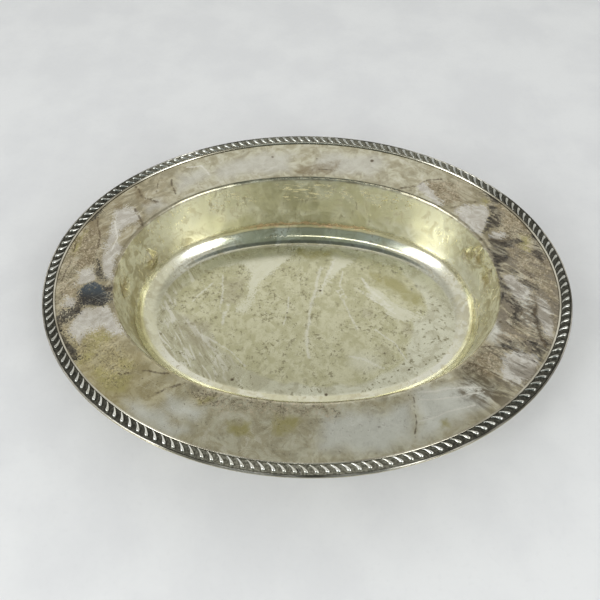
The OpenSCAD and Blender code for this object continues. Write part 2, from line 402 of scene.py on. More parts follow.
def creases():
    """The place, radius and depth of each creased dent, in millimetres."""
    rng = np.random.default_rng(CREASE_SEED)
    found = []
    for turns, heights, number in BRUISES:
        for _ in range(number):
            place = wall_place(rng.uniform(*turns), rng.uniform(*heights))
            found.append((place, rng.uniform(*CREASE_RADII), rng.uniform(*CREASE_DEPTHS)))
    return found


def crease_share(mm, place, radius):
    """How far into a creased dent each point is, 0 to 1, with flat facets."""
    return np.clip(1 - np.abs((mm - place) / radius).sum(1), 0, 1)


def handwork(mm):
    """How far the hand-finished wall and flange wander from true, in millimetres."""
    x, y, z = mm.T
    turn = np.arctan2(y / HALF_WIDTH, x / HALF_LENGTH)
    waves = sum(high * np.sin(turns * turn + z / rise + start) for high, turns, rise, start in RIPPLES)
    amount = waves * np.clip((z - 4) / 8, 0, 1)
    rng = np.random.default_rng(SHALLOW_SEED)
    for _ in range(SHALLOW_DENTS):
        place = wall_place(rng.uniform(0, 360), rng.uniform(*SHALLOW_HEIGHTS))
        away = (((mm - place) / rng.uniform(*SHALLOW_RADII)) ** 2).sum(1)
        amount += rng.uniform(-SHALLOW_DEPTH, SHALLOW_DEPTH) * np.exp(-away)
    for place, radius, depth in creases():
        amount += depth * crease_share(mm, place, radius)
    return amount


def way_to(xy, a, b):
    """From each point to the nearest place on the line from a to b."""
    edge, to = b - a, xy - a
    share = np.clip(to @ edge / (edge @ edge), 0, 1)
    return share[:, None] * edge - to


def inside_distance(xy, outline):
    """Distance to an outline in millimetres, positive inside it."""
    corners = np.array(outline, float)
    best = np.full(len(xy), FAR_AWAY)
    inside = np.zeros(len(xy), bool)
    for a, b in zip(corners, np.roll(corners, -1, axis=0)):
        edge = b - a
        best = np.minimum(best, np.linalg.norm(way_to(xy, a, b), axis=1))
        if a[1] != b[1]:
            crosses = (a[1] > xy[:, 1]) != (b[1] > xy[:, 1])
            inside ^= crosses & (xy[:, 0] < a[0] + (xy[:, 1] - a[1]) * edge[0] / edge[1])
    return np.where(inside, best, -best)


def patch_field(xy, outlines):
    field = np.full(len(xy), -PATCH_REACH)
    for outline in outlines:
        field = np.maximum(field, inside_distance(xy, outline))
    return np.clip(field, -PATCH_REACH, PATCH_REACH)


def stroke_field(xy, strokes):
    """The way to the nearest stroke in half widths, and a third number that grows far from all."""
    best = np.full(len(xy), FAR_AWAY)
    field = np.zeros((len(xy), 3))
    for line, half in strokes:
        for a, b in zip(np.array(line, float), np.array(line[1:], float)):
            way = way_to(xy, a, b)
            gap = np.linalg.norm(way, axis=1)
            nearer = gap < best
            best[nearer] = gap[nearer]
            field[nearer, :2] = way[nearer] / half
            field[nearer, 2] = np.maximum(gap[nearer] - 1.5, 0) / half * 2
    return np.clip(field, -STROKE_REACH, STROKE_REACH)


def dish_body(top_material, under_material):
    stations = SHEET_STATIONS
    end_top, end_under = body_profile(END_SLOPE)
    side_top, side_under = body_profile(SIDE_SLOPE)
    angle = np.linspace(0, 2 * math.pi, stations, endpoint=False)

    def rings(end, side):
        return [oval_points(angle, e[0], s[0], e[1], s[1]) for e, s in zip(end, side)]

    def floor_rings(outer, z, count):
        return [
            np.column_stack([outer[:, :2] * (1 - k / count), np.full(stations, z)]) for k in range(1, count)
        ]

    tops = rings(end_top, side_top)
    tops += floor_rings(tops[-1], SHEET, FLOOR_RINGS)
    unders = rings(end_under, side_under)
    unders = floor_rings(unders[0], 0.0, UNDER_FLOOR_RINGS)[::-1] + unders
    points = np.vstack([*tops, [[0, 0, SHEET]], [[0, 0, 0]], *unders])
    n_top = len(tops) * stations
    faces = ring_faces(len(tops), stations, closed=False)
    last = n_top - stations
    faces += [(last + i, n_top, last + (i + 1) % stations) for i in range(stations)]
    base = n_top + 2
    top_faces = len(faces)
    faces += [(base + i, base + (i + 1) % stations, n_top + 1) for i in range(stations)]
    faces += [tuple(v + base for v in f) for f in ring_faces(len(unders), stations, closed=False)]
    rim = base + (len(unders) - 1) * stations
    faces += [(rim + i, i, (i + 1) % stations, rim + (i + 1) % stations) for i in range(stations)]
    piece = smooth_mesh("dish_body_sheet", points, faces)

    mesh = piece.data
    normals = np.empty(len(points) * 3)
    mesh.vertices.foreach_get("normal", normals)
    normals = normals.reshape(-1, 3)
    normals[n_top + 1:] *= -1
    inset = 1 - np.hypot(points[:, 0] / HALF_LENGTH, points[:, 1] / HALF_WIDTH)
    fade = np.clip((inset * HALF_WIDTH - BORDER_WIDTH) / FADE_WIDTH, 0, 1)
    moved = points + normals * (handwork(points / MM) * fade * MM)[:, None]
    mesh.vertices.foreach_set("co", moved.ravel())
    mesh.update()

    finish_piece(piece, "dish_body", "dish_plate", top_material, under_material)
    mesh.polygons.foreach_set("material_index", [0] * top_faces + [1] * (len(faces) - top_faces))
    xy = points[:, :2] / MM
    warp = np.column_stack(
        [np.sin(xy[:, 1] / 4.3 + xy[:, 0] / 9.1), np.sin(xy[:, 0] / 3.9 - xy[:, 1] / 8.3)]
    )
    warp += 0.6 * np.column_stack([np.sin(xy[:, 1] / 1.9 + 2), np.sin(xy[:, 0] / 2.1 + 1)])
    bent = xy + 0.8 * warp
    for name, patches in WEAR_AND_SHEEN.items():
        store(piece, name, np.column_stack([patch_field(bent, p) for p in patches]))
    spots = [([(x, y), (x + 0.2, y)], r) for x, y, r in SPOTS]
    store(piece, "dark_lines", stroke_field(xy + 0.35 * warp, DARK_STROKES))
    store(piece, "pale_lines", stroke_field(xy + 0.25 * warp, PALE_STROKES))
    store(piece, "spots", stroke_field(xy, spots))
    shares = [crease_share(points / MM, place, radius) for place, radius, _ in creases()]
    store(piece, "crease", np.max(shares, 0))


def bent_strip(name, node, slot, material, section):
    """A wire bent round the rim, from a closed section of [inset, height] rows."""
    stations = WIRE_STATIONS
    angle = angle_at(np.linspace(0, PERIMETER, stations, endpoint=False))
    rings = [
        np.column_stack([inside_rim(angle, np.full(stations, inset)), np.full(stations, z)])
        for inset, z in section
    ]
    piece = smooth_mesh(name, np.vstack(rings), ring_faces(len(rings), stations))
    finish_piece(piece, node, slot, material)
    rise = np.repeat([z - RIM_Z for _, z in section], stations)
    store(piece, "rise", rise / rise.max())


def wire_section(start, width, height):
    """A half-round wire with a flat underside."""
    a = np.linspace(math.pi, 0, WIRE_ARC_POINTS)
    inset = start + width / 2 + width / 2 * np.cos(a)
    z = RIM_Z + height * np.sin(a) ** 0.8
    return list(zip(inset, z))


def lobe_height(phase, v):
    """Height of the border and of its ridge, 0 to 1: whole phases are mid recess and v runs inwards."""
    head = np.sqrt(1 - np.clip((HEAD_END - v) / HEAD_LENGTH, 0, 1) ** 2)
    tail = np.clip((v - TAIL_START) / (1 - TAIL_START), 0, 1)
    half = LOBE_HALF * head * (1 - 0.5 * tail) + 0.001
    off = np.abs(phase % 1 - 0.5) / half
    ridge = np.sqrt(np.clip(1 - off ** 2, 0, 1)) * head
    recess = 0.20 + 0.10 * np.cos(2 * math.pi * v)
    crest = 1 - 0.45 * tail ** 1.3
    return recess + (crest - recess) * ridge, ridge


def lobe_band(name, node, slot, material, run_start, run_end, phase):
    """A stretch of the border: lobes start square to the rim and curl clockwise as they narrow."""
    columns = len(phase) - 1
    run = np.linspace(run_start, run_end, columns + 1)
    points, heights, tops = [], [], []
    for v in np.linspace(0, 1, LOBE_ROWS):
        lean = LOBE_LEAN * PITCH * v ** 2.2
        p = inside_rim(angle_at(run - lean), np.full(columns + 1, LOBE_START + LOBE_BAND * v))
        height, top = lobe_height(phase, v)
        points.append(np.column_stack([p, RIM_Z + (CREST_Z - RIM_Z) * height]))
        heights.append(height)
        tops.append(top)
    foot_out, foot_in = points[0].copy(), points[-1].copy()
    foot_out[:, 2] = foot_in[:, 2] = RIM_Z
    rings = [foot_out, *points, foot_in]
    n = columns + 1
    faces = ring_faces(len(rings), n, around=False)
    faces.append([r * n for r in range(len(rings))][::-1])
    faces.append([r * n + columns for r in range(len(rings))])
    piece = smooth_mesh(name, np.vstack(rings), faces)
    finish_piece(piece, node, slot, material)
    none = np.zeros(n)
    store(piece, "ridge", np.concatenate([none, *tops, none]))
    store(piece, "rise", np.concatenate([none, *heights, none]))


# ---------------- materials
class Graph:
    """Short spellings for the nodes that the world and the materials are built from."""

    def __init__(self, owner):
        owner.use_nodes = True
        self.tree = owner.node_tree

    def node(self, kind, **settings):
        node = self.tree.nodes.new("ShaderNode" + kind)
        for key, value in settings.items():
            setattr(node, key, value)
        return node

    def feed(self, socket, value):
        if isinstance(value, bpy.types.NodeSocket):
            self.tree.links.new(value, socket)
        else:
            socket.default_value = value

    def math(self, operation, *values):
        node = self.node("Math", operation=operation)
        for socket, value in zip(node.inputs, values):
            self.feed(socket, value)
        return node.outputs[0]

    def chain(self, operation, first, *others):
        for other in others:
            first = self.math(operation, first, other)
        return first

    def times(self, *values):
        return self.chain("MULTIPLY", *values)

    def most(self, *values):
        return self.chain("MAXIMUM", *values)

    def plus(self, *values):
        return self.chain("ADD", *values)

    def minus(self, value, less):
        return self.math("SUBTRACT", value, less)

    def line(self, value, slope, start):
        """The value times the slope, plus the start."""
        return self.math("MULTIPLY_ADD", value, slope, start)

    def vector(self, operation, *values):
        node = self.node("VectorMath", operation=operation)
        for socket, value in zip(node.inputs, values):
            self.feed(socket, value)
        return node.outputs["Value" if operation == "LENGTH" else "Vector"]

    def smooth(self, value, low, high, to_low=0.0, to_high=1.0):
        node = self.node("MapRange", interpolation_type="SMOOTHSTEP")
        keys = ("Value", "From Min", "From Max", "To Min", "To Max")
        for key, item in zip(keys, (value, low, high, to_low, to_high)):
            self.feed(node.inputs[key], item)
        return node.outputs[0]

    def mix(self, share, a, b):
        node = self.node("Mix", data_type="RGBA")
        for socket, value in zip((node.inputs[0], node.inputs[6], node.inputs[7]), (share, a, b)):
            self.feed(socket, (*value, 1) if isinstance(value, tuple) else value)
        return node.outputs[2]

    def shade(self, value, low, high, a, b):
        """From color a to color b as the value goes from low to high."""
        return self.mix(self.smooth(value, low, high), a, b)

    def over(self, under, color, *shares):
        """The color laid over what is under it, as thickly as the shares multiplied together."""
        return self.mix(self.times(*shares), under, color)

    def blend(self, share, a, b):
        node = self.node("Mix", data_type="FLOAT")
        for socket, value in zip((node.inputs[0], node.inputs[2], node.inputs[3]), (share, a, b)):
            self.feed(socket, value)
        return node.outputs[0]

    def parts(self, vector):
        node = self.node("SeparateXYZ")
        self.feed(node.inputs[0], vector)
        return node.outputs

    def tones(self, value, *stops):
        """A color for each of some values, and even steps between them."""
        node = self.node("ValToRGB")
        steps = node.color_ramp.elements
        steps[0].color, steps[1].color = (*stops[0][1], 1), (*stops[-1][1], 1)
        for place, color in stops:
            steps.new(place).color = (*color, 1)
        self.feed(node.inputs[0], value)
        return node.outputs[0]


class Surface(Graph):
    """A material's nodes, with places on its piece in millimetres."""

    def __init__(self, name):
        self.material = bpy.data.materials.new(name)
        super().__init__(self.material)
        self.tree.nodes.clear()
        self.place = self.vector("MULTIPLY", self.node("TexCoord").outputs["Object"], (1000, 1000, 1000))

    def stretch(self, times, turn=0.0):
        """Places for noise this many times longer along its own axes, the first turned from X."""
        node = self.node("Mapping", vector_type="TEXTURE")
        self.feed(node.inputs["Vector"], self.place)
        node.inputs["Rotation"].default_value = (0, 0, math.radians(turn))
        node.inputs["Scale"].default_value = times
        return node.outputs[0]

    def noise(self, size, detail=2.0, roughness=0.5, distortion=0.0, place=None):
        """Noise from about 0.2 to 0.8 whose features are about size millimetres across."""
        node = self.node("TexNoise")
        self.feed(node.inputs["Vector"], place or self.place)
        node.inputs["Scale"].default_value = 1 / size
        node.inputs["Detail"].default_value = detail
        node.inputs["Roughness"].default_value = roughness
        node.inputs["Distortion"].default_value = distortion
        return node.outputs["Fac"]

    def stored(self, name, output="Fac"):
        return self.node("Attribute", attribute_name=name).outputs[output]

    def patch(self, field, edge, soft, fray):
        """A patch with a frayed outline: edge is how far it wanders, soft how quickly it fades."""
        fray = self.noise(fray, 4, 0.65) if isinstance(fray, float) else fray
        wander = self.line(fray, 2 * edge, self.minus(field, edge))
        return self.smooth(wander, -soft, soft)

    def stroke(self, name, wander):
        """Where a stroke is: its attribute holds the way to the nearest centre line, in half widths."""
        away = self.vector("LENGTH", self.stored(name, "Vector"))
        return self.smooth(self.plus(away, wander), 1.9, 0.4)

    def scratches(self, turn, size=0.35, length=18):
        """Fine straight hairlines at an angle, 0 to 1."""
        place = self.stretch((length, 1, 2), turn)
        return self.smooth(self.noise(size, 2, 0.6, place=place), 0.60, 0.70)

    def finish(self, color, metallic, roughness, height):
        """The material, with its fine height in millimetres."""
        shader = self.node("BsdfPrincipled")
        bump = self.node("Bump")
        bump.inputs["Distance"].default_value = MM
        self.feed(bump.inputs["Height"], height)
        self.feed(shader.inputs["Base Color"], color)
        self.feed(shader.inputs["Metallic"], metallic)
        self.feed(shader.inputs["Roughness"], roughness)
        self.feed(shader.inputs["Normal"], bump.outputs[0])
        output = self.node("OutputMaterial")
        self.tree.links.new(shader.outputs[0], output.inputs[0])
        return self.material


def plate_top():
    """The sheet's upper face: worn plate with tarnish, wipe marks and scratches, and painted sheen, glints,
    reflections and shade.
    """
    g = Surface("dish_plate_top")
    x, y, z = g.parts(g.place)
    light, dark, olive = g.parts(g.stored("wear_and_sheen_a", "Vector"))
    speckle, slate, brown = g.parts(g.stored("wear_b", "Vector"))
    mottle, painted_sheen, glaze = g.parts(g.stored("wear_and_sheen_c", "Vector"))
    on_flange = g.smooth(z, 40.5, 42)
    on_floor = g.smooth(z, 1.14, 1.04)
    worn = g.most(on_flange, on_floor)
    right = g.smooth(x, -20, 20)

    broad = g.noise(26, 3, 0.5, 1.2)
    cloud = g.noise(9, 5, 0.62, 1.5)
    fine = g.noise(1.6, 4, 0.65)
    grit = g.noise(1.0, 5, 0.75, 0.5)
    ends = g.math("ABSOLUTE", x)
    wisps = g.blend(
        right, g.noise(7, 5, 0.65, 1.2, g.stretch((2.4, 1, 1), 42)),
        g.noise(6, 5, 0.65, 1.2, g.stretch((3, 1, 1), -36))
    )
    wisps = g.blend(g.smooth(ends, 68, 108), g.noise(15, 4, 0.6, 1.6), wisps)
    hairs = g.blend(
        right, g.noise(1.3, 4, 0.7, 0.5, g.stretch((7, 1, 1), 45)),
        g.noise(1.3, 4, 0.7, 0.5, g.stretch((7, 1, 1), -34))
    )
    fray = g.minus(g.blend(g.times(right, 0.55), g.noise(0.9, 4, 0.75), hairs), 0.5)
    fray = g.line(fray, g.smooth(cloud, 0.42, 0.58, 0.3, 1.5), 0.5)

    # flange: warm grey with smoky smudges, browner towards its ends and yellower at the front left
    flange = g.shade(cloud, 0.38, 0.62, (0.45, 0.415, 0.29), (0.62, 0.6, 0.46))
    end_tone = g.shade(
        wisps, 0.44, 0.58, g.mix(right, (0.42, 0.365, 0.24), (0.44, 0.39, 0.275)), (0.23, 0.19, 0.115)
    )
    flange = g.mix(g.smooth(ends, 66, 112, 0, 0.75), flange, end_tone)
    flange = g.mix(g.smooth(wisps, 0.5, 0.6, 0, 0.45), flange, (0.33, 0.295, 0.195))
    flange = g.mix(g.smooth(wisps, 0.44, 0.36, 0, 0.45), flange, (0.7, 0.68, 0.57))
    front_left = g.times(g.smooth(x, -40, -90), g.smooth(y, -30, -62))
    flange = g.over(
        flange, g.shade(cloud, 0.4, 0.6, (0.37, 0.315, 0.165), (0.5, 0.445, 0.265)), front_left, 0.8
    )
    # wall: champagne, yellower towards the middle as a painted reflection of the floor, and whiter round its
    # ends
    wall = g.shade(ends, 48, 88, (0.68, 0.66, 0.47), (0.73, 0.725, 0.635))
    wall = g.mix(g.smooth(broad, 0.4, 0.6, 0, 0.6), wall, (0.82, 0.81, 0.7))
    wall = g.mix(g.smooth(cloud, 0.52, 0.64, 0, 0.55), wall, (0.54, 0.49, 0.33))
    wall = g.mix(
        g.smooth(g.noise(2.4, 4, 0.6, 0.5, g.stretch((1, 1, 5))), 0.54, 0.66, 0, 0.25), wall,
        (0.6, 0.55, 0.4)
    )
    drips = g.noise(3.0, 4, 0.65, 0.6, g.stretch((1, 1, 4)))
    upright = g.smooth(z, 3, 6)
    back = g.smooth(y, 40, 60)
    olive_back = g.times(back, g.smooth(x, -50, -20), g.smooth(x, 40, 0))
    olive_back = g.times(olive_back, g.smooth(g.noise(14, 3, 0.55, 0.8), 0.38, 0.56))
    wall = g.over(wall, (0.42, 0.4, 0.255), olive_back, 0.7)
    brown_ends = g.times(g.smooth(ends, 85, 105), g.smooth(g.noise(8, 4, 0.6, 1.0), 0.44, 0.58))
    wall = g.over(wall, (0.34, 0.29, 0.16), brown_ends, 0.6)
    smears = g.times(g.smooth(drips, 0.57, 0.66), g.smooth(broad, 0.45, 0.56))
    wall = g.over(wall, (0.32, 0.27, 0.15), smears, 0.6)
    crease = g.stored("crease")
    # painted reflection: dark bronze over the creased dents, standing in for what their facets reflect
    painted_dent_reflection = g.times(g.smooth(crease, 0, 0.8), g.smooth(cloud, 0.38, 0.62, 0.2, 1))
    bronze = g.shade(fine, 0.4, 0.6, (0.25, 0.185, 0.08), (0.44, 0.34, 0.17))
    wall = g.over(wall, bronze, painted_dent_reflection, 0.7)
    sweep = g.times(g.smooth(z, 12, 6), g.smooth(ends, 78, 96))
    wall = g.over(
        wall, g.shade(cloud, 0.4, 0.6, (0.5, 0.475, 0.315), (0.66, 0.65, 0.465)), sweep,
        g.blend(right, 0.75, 0.35)
    )
    # painted shade: darker brown low on the wall at its left end
    foot = g.times(g.smooth(z, 9, 12), g.smooth(z, 22, 16), g.smooth(x, -62, -84))
    wall = g.over(wall, (0.43, 0.385, 0.25), foot, g.smooth(cloud, 0.38, 0.62, 0.3, 0.75))
    foot = g.times(g.smooth(z, 7, 11), g.smooth(z, 24, 16), g.smooth(x, 30, 70))
    wall = g.over(wall, g.shade(cloud, 0.4, 0.6, (0.6, 0.585, 0.5), (0.76, 0.755, 0.7)), foot, 0.85)
    # floor: pale yellow, paler towards the right, with spots inside its mottled area
    floor = g.shade(x, -50, 10, (0.59, 0.575, 0.41), (0.745, 0.74, 0.585))
    floor = g.mix(g.smooth(wisps, 0.46, 0.6, 0, 0.6), floor, (0.5, 0.475, 0.335))
    floor = g.mix(g.smooth(wisps, 0.44, 0.36, 0, 0.6), floor, (0.77, 0.765, 0.6))
    swirls = g.noise(3.2, 3, 0.6, 1.0, g.stretch((5, 1, 1), -58))
    at_left = g.smooth(x, -30, -62, 0, 0.75)
    floor = g.over(floor, (0.8, 0.785, 0.67), at_left, g.smooth(swirls, 0.53, 0.62))
    floor = g.over(floor, (0.42, 0.39, 0.26), at_left, g.smooth(swirls, 0.47, 0.4))
    spots = g.smooth(g.noise(2.8, 5, 0.7, 0.2), 0.55, 0.63)
    spots = g.times(spots, g.smooth(broad, 0.38, 0.58, 0.2, 1))
    stain = g.shade(g.noise(7, 5, 0.65, 0.6), 0.4, 0.6, (0.55, 0.53, 0.33), (0.7, 0.68, 0.47))
    stain = g.over(stain, (0.27, 0.245, 0.135), spots, 0.9)
    floor = g.over(floor, stain, g.patch(mottle, 1.4, 1.5, 2.0), 0.9)
    specks = g.times(g.smooth(g.noise(2.4, 4, 0.6), 0.585, 0.64), g.smooth(broad, 0.4, 0.55, 0.35, 1))
    floor = g.over(floor, (0.25, 0.225, 0.13), specks, 0.8)
    color = g.mix(on_floor, g.mix(on_flange, wall, flange), floor)

    # painted shade: a dark band along the bend at the well's mouth
    mouth = g.times(g.smooth(z, 39.8, 41.0), g.smooth(z, 42.3, 42.15))
    color = g.over(color, (0.26, 0.23, 0.155), mouth, g.smooth(cloud, 0.4, 0.58, 0.15, 0.8))

    # stains, and painted sheen: soft reflections painted as colour on polished places
    in_painted_sheen = g.times(g.patch(painted_sheen, 3.0, 5.0, 5.0), worn, 0.65)
    color = g.mix(
        in_painted_sheen, color,
        g.mix(on_floor, g.shade(y, -20, 20, (0.76, 0.785, 0.75), (0.63, 0.62, 0.56)), (0.76, 0.75, 0.6))
    )
    in_glaze = g.times(g.patch(glaze, 3.0, 4.0, 2.5), g.smooth(wisps, 0.42, 0.56, 0.05, 0.9))
    in_glaze = g.times(in_glaze, on_flange)
    color = g.mix(in_glaze, color, (0.17, 0.142, 0.095))
    in_brown = g.times(g.patch(brown, 3.0, 1.6, 1.8), g.smooth(wisps, 0.38, 0.56, 0.4, 0.95))
    in_brown = g.times(in_brown, g.blend(on_floor, 0.85, 0.5))
    color = g.over(color, g.mix(on_floor, (0.27, 0.22, 0.135), (0.4, 0.365, 0.25)), in_brown, worn)
    in_olive = g.times(g.patch(olive, 3.0, 2.5, 4.0), g.smooth(cloud, 0.38, 0.54, 0.45, 0.85))
    color = g.over(color, g.mix(on_floor, (0.4, 0.36, 0.15), (0.44, 0.41, 0.2)), in_olive, worn)

    # speckles: pinkish bright flecks, then dark grains, thickest at the ends
    in_speckle = g.smooth(speckle, -4, 3)
    flecks = g.smooth(g.noise(1.2, 5, 0.75, 0.5), 0.53, 0.58)
    flecks = g.times(flecks, in_speckle, on_flange)
    color = g.over(color, g.mix(front_left, (0.65, 0.555, 0.41), (0.64, 0.56, 0.3)), flecks, 0.75)
    dots = g.line(in_speckle, 0.065, g.minus(grit, 0.035))
    dots = g.line(g.minus(wisps, 0.5), 0.3, dots)
    dots = g.times(g.smooth(dots, 0.585, 0.62), on_flange)
    color = g.over(color, (0.1, 0.076, 0.05), dots, 0.75)

    # pale patches: polished plate with lower roughness, and partly painted reflection
    in_light = g.times(g.patch(g.plus(light, 0.3), 10.0, 0.7, fray), worn)
    pale = g.mix(
        on_floor, g.shade(cloud, 0.4, 0.62, (0.52, 0.49, 0.43), (0.67, 0.65, 0.59)), (0.735, 0.725, 0.565)
    )
    color = g.over(color, pale, in_light, g.smooth(wisps, 0.62, 0.46, 0.75, 0.97))
    smoky = g.times(g.smooth(x, 96, 110), g.smooth(y, 32, 22))
    color = g.over(color, (0.27, 0.24, 0.19), smoky, on_flange, g.smooth(wisps, 0.44, 0.58, 0, 0.6))
    in_dark = g.patch(g.plus(dark, 0.3), 13.0, 0.8, fray)
    in_dark = g.times(in_dark, g.blend(right, 1.0, g.smooth(wisps, 0.42, 0.54, 0.45, 1)))
    in_dark = g.times(in_dark, worn, 0.93)
    threads = g.times(g.smooth(hairs, 0.57, 0.62), g.smooth(glaze, -4, 4), on_flange)
    in_dark = g.most(in_dark, g.times(threads, 0.45))
    color = g.mix(in_dark, color, g.shade(fine, 0.4, 0.6, (0.024, 0.02, 0.017), (0.085, 0.072, 0.056)))
    slate_share = g.times(g.patch(slate, 6.0, 0.5, fray), g.smooth(fine, 0.64, 0.6, 0.25, 1))
    color = g.mix(slate_share, color, g.shade(y, -20, -12, (0.045, 0.042, 0.038), (0.065, 0.08, 0.092)))

    # strokes: brown creases and pale wipes on the flat parts
    ragged = g.line(fine, 5.0, -2.2)
    broken = g.smooth(g.noise(4, 3, 0.6), 0.42, 0.56, 0, 0.8)
    creases = g.times(g.stroke("dark_lines", ragged), broken, g.smooth(worn, 0, 1, 0.1, 1))
    creases = g.most(creases, g.stroke("spots", g.times(ragged, 0.3)))
    wipes = g.times(g.stroke("pale_lines", ragged), worn)
    color = g.over(
        color, g.mix(on_floor, (0.8, 0.78, 0.7), (0.84, 0.83, 0.72)), wipes, g.blend(on_floor, 0.7, 0.55)
    )
    color = g.mix(creases, color, (0.12, 0.09, 0.055))
    # on the wall: painted glints drawn as level scratches at the back and upright ones at the ends, and a
    # pink line at the foot, a painted reflection
    level = g.smooth(g.noise(0.9, 3, 0.6, 0.8, g.stretch((8, 1, 1.3))), 0.55, 0.60)
    level = g.times(level, back, g.smooth(z, 24, 30))
    level = g.times(level, g.smooth(broad, 0.42, 0.54), g.smooth(z, 40, 37))
    steep = g.smooth(g.noise(1.1, 3, 0.6, 0.8, g.stretch((1, 1, 9))), 0.61, 0.66)
    steep = g.times(steep, g.smooth(ends, 70, 95), g.smooth(z, 41, 38))
    painted_glints = g.times(g.most(level, steep), upright, g.smooth(z, 42.25, 42.1))
    color = g.over(color, (1.0, 0.95, 0.72), painted_glints, 0.85)
    foot_line = g.math("ABSOLUTE", g.line(g.minus(cloud, 0.5), 8, g.minus(z, WALL_FOOT)))
    pink_reflection_line = g.times(g.smooth(foot_line, 1.5, 0.5), back, g.smooth(ends, 50, 30))
    color = g.over(color, (0.94, 0.66, 0.5), pink_reflection_line, 0.6)

    lines = g.most(g.scratches(35), g.scratches(-28, 0.3, 24))
    lines = g.most(lines, g.times(g.scratches(82, 0.4, 14), 0.7))
    lines = g.times(lines, g.smooth(broad, 0.42, 0.6, 0.1, 1))
    color = g.over(color, (0.86, 0.84, 0.74), lines, 0.25)

    tarnish = g.most(in_dark, slate_share, g.times(dots, 0.6))
    on_wall = g.blend(
        g.smooth(z, 9, 14), g.smooth(ends, 35, 75, 0.12, 0.19), g.smooth(cloud, 0.38, 0.6, 0.34, 0.46)
    )
    on_wall = g.blend(g.smooth(crease, 0, 0.15), on_wall, 0.15)
    on_wall = g.blend(painted_glints, on_wall, 0.15)
    rough = g.blend(on_flange, g.blend(on_floor, on_wall, 0.24), g.smooth(cloud, 0.35, 0.65, 0.22, 0.13))
    rough = g.blend(g.times(in_light, 0.8), rough, 0.12)
    rough = g.plus(
        g.blend(tarnish, rough, 0.42), g.line(lines, 0.06, g.smooth(fine, 0.3, 0.7, -0.02, 0.03))
    )
    metal = g.smooth(tarnish, 0, 1, 1.0, 0.75)
    height = g.times(g.noise(6, 1), 0.006)
    height = g.line(fine, g.times(worn, 0.0012), height)
    height = g.line(g.times(lines, worn), -0.0015, height)
    height = g.line(g.plus(creases, painted_glints), -0.004, height)
    return g.finish(color, metal, rough, height)


def plate_under():
    """The underside: even, duller plate with rubbed places."""
    g = Surface("dish_plate_under")
    cloud = g.noise(9, 5, 0.6)
    fine = g.noise(1.4, 4, 0.65)
    color = g.shade(cloud, 0.36, 0.64, (0.5, 0.46, 0.33), (0.68, 0.65, 0.52))
    dots = g.smooth(g.line(cloud, -0.3, g.noise(0.5, 3, 0.6)), 0.48, 0.56)
    color = g.over(color, (0.2, 0.16, 0.1), dots, 0.5)
    rubbed = g.times(g.smooth(g.parts(g.place)[2], 0.8, 0.1), g.smooth(fine, 0.4, 0.55))
    lines = g.most(g.scratches(12), g.scratches(-61, 0.35, 20))
    color = g.mix(g.most(g.times(rubbed, 0.6), g.times(lines, 0.3)), color, (0.8, 0.78, 0.7))
    rough = g.plus(g.smooth(cloud, 0.35, 0.65, 0.36, 0.26), g.times(lines, 0.1))
    height = g.line(cloud, 0.03, g.line(fine, 0.005, g.times(lines, -0.003)))
    return g.finish(color, 1.0, rough, height)


def border_plate(name):
    """Cast lobes: bright worn crests over dark oxide, which is thickest at the dish's ends; the bright crests
    and dark recesses are partly painted highlight and painted shade.
    """
    g = Surface(name)
    x, y, _ = g.parts(g.place)
    ridge = g.stored("ridge")
    broad, fine, grain = g.noise(26, 2), g.noise(1.1, 4, 0.65), g.noise(0.3, 3, 0.6)
    rubbed = g.line(y, -0.3, g.line(broad, 30, g.math("ABSOLUTE", x)))
    rubbed = g.smooth(rubbed, 125, 75)
    silver = g.shade(g.noise(8, 3), 0.35, 0.65, (0.66, 0.65, 0.57), (0.86, 0.86, 0.81))
    # darker silver at the back, and painted shade darkening the silver at the dish's ends
    silver = g.mix(g.smooth(y, 55, 80, 0, 0.8), silver, (0.42, 0.43, 0.4))
    silver = g.mix(g.smooth(g.math("ABSOLUTE", x), 90, 125, 0, 0.6), silver, (0.38, 0.38, 0.345))
    oxide_and_shade = g.shade(fine, 0.4, 0.62, (0.034, 0.033, 0.026), (0.1, 0.097, 0.075))
    pewter = g.shade(fine, 0.4, 0.62, (0.12, 0.115, 0.085), (0.31, 0.3, 0.24))
    level = g.line(g.minus(fine, 0.5), 0.35, ridge)
    level = g.line(g.minus(broad, 0.5), 0.3, level)
    bright = g.smooth(level, 0.57, 0.89)
    color = g.mix(bright, g.mix(rubbed, oxide_and_shade, pewter), silver)
    color = g.over(color, (0.13, 0.115, 0.085), g.smooth(grain, 0.62, 0.72), 0.5)
    rough = g.plus(g.smooth(bright, 0, 1, 0.42, 0.17), g.smooth(fine, 0.3, 0.7, -0.03, 0.05))
    height = g.line(fine, 0.02, g.times(grain, 0.006))
    return g.finish(color, g.smooth(bright, 0, 1, 0.8, 1.0), rough, height)


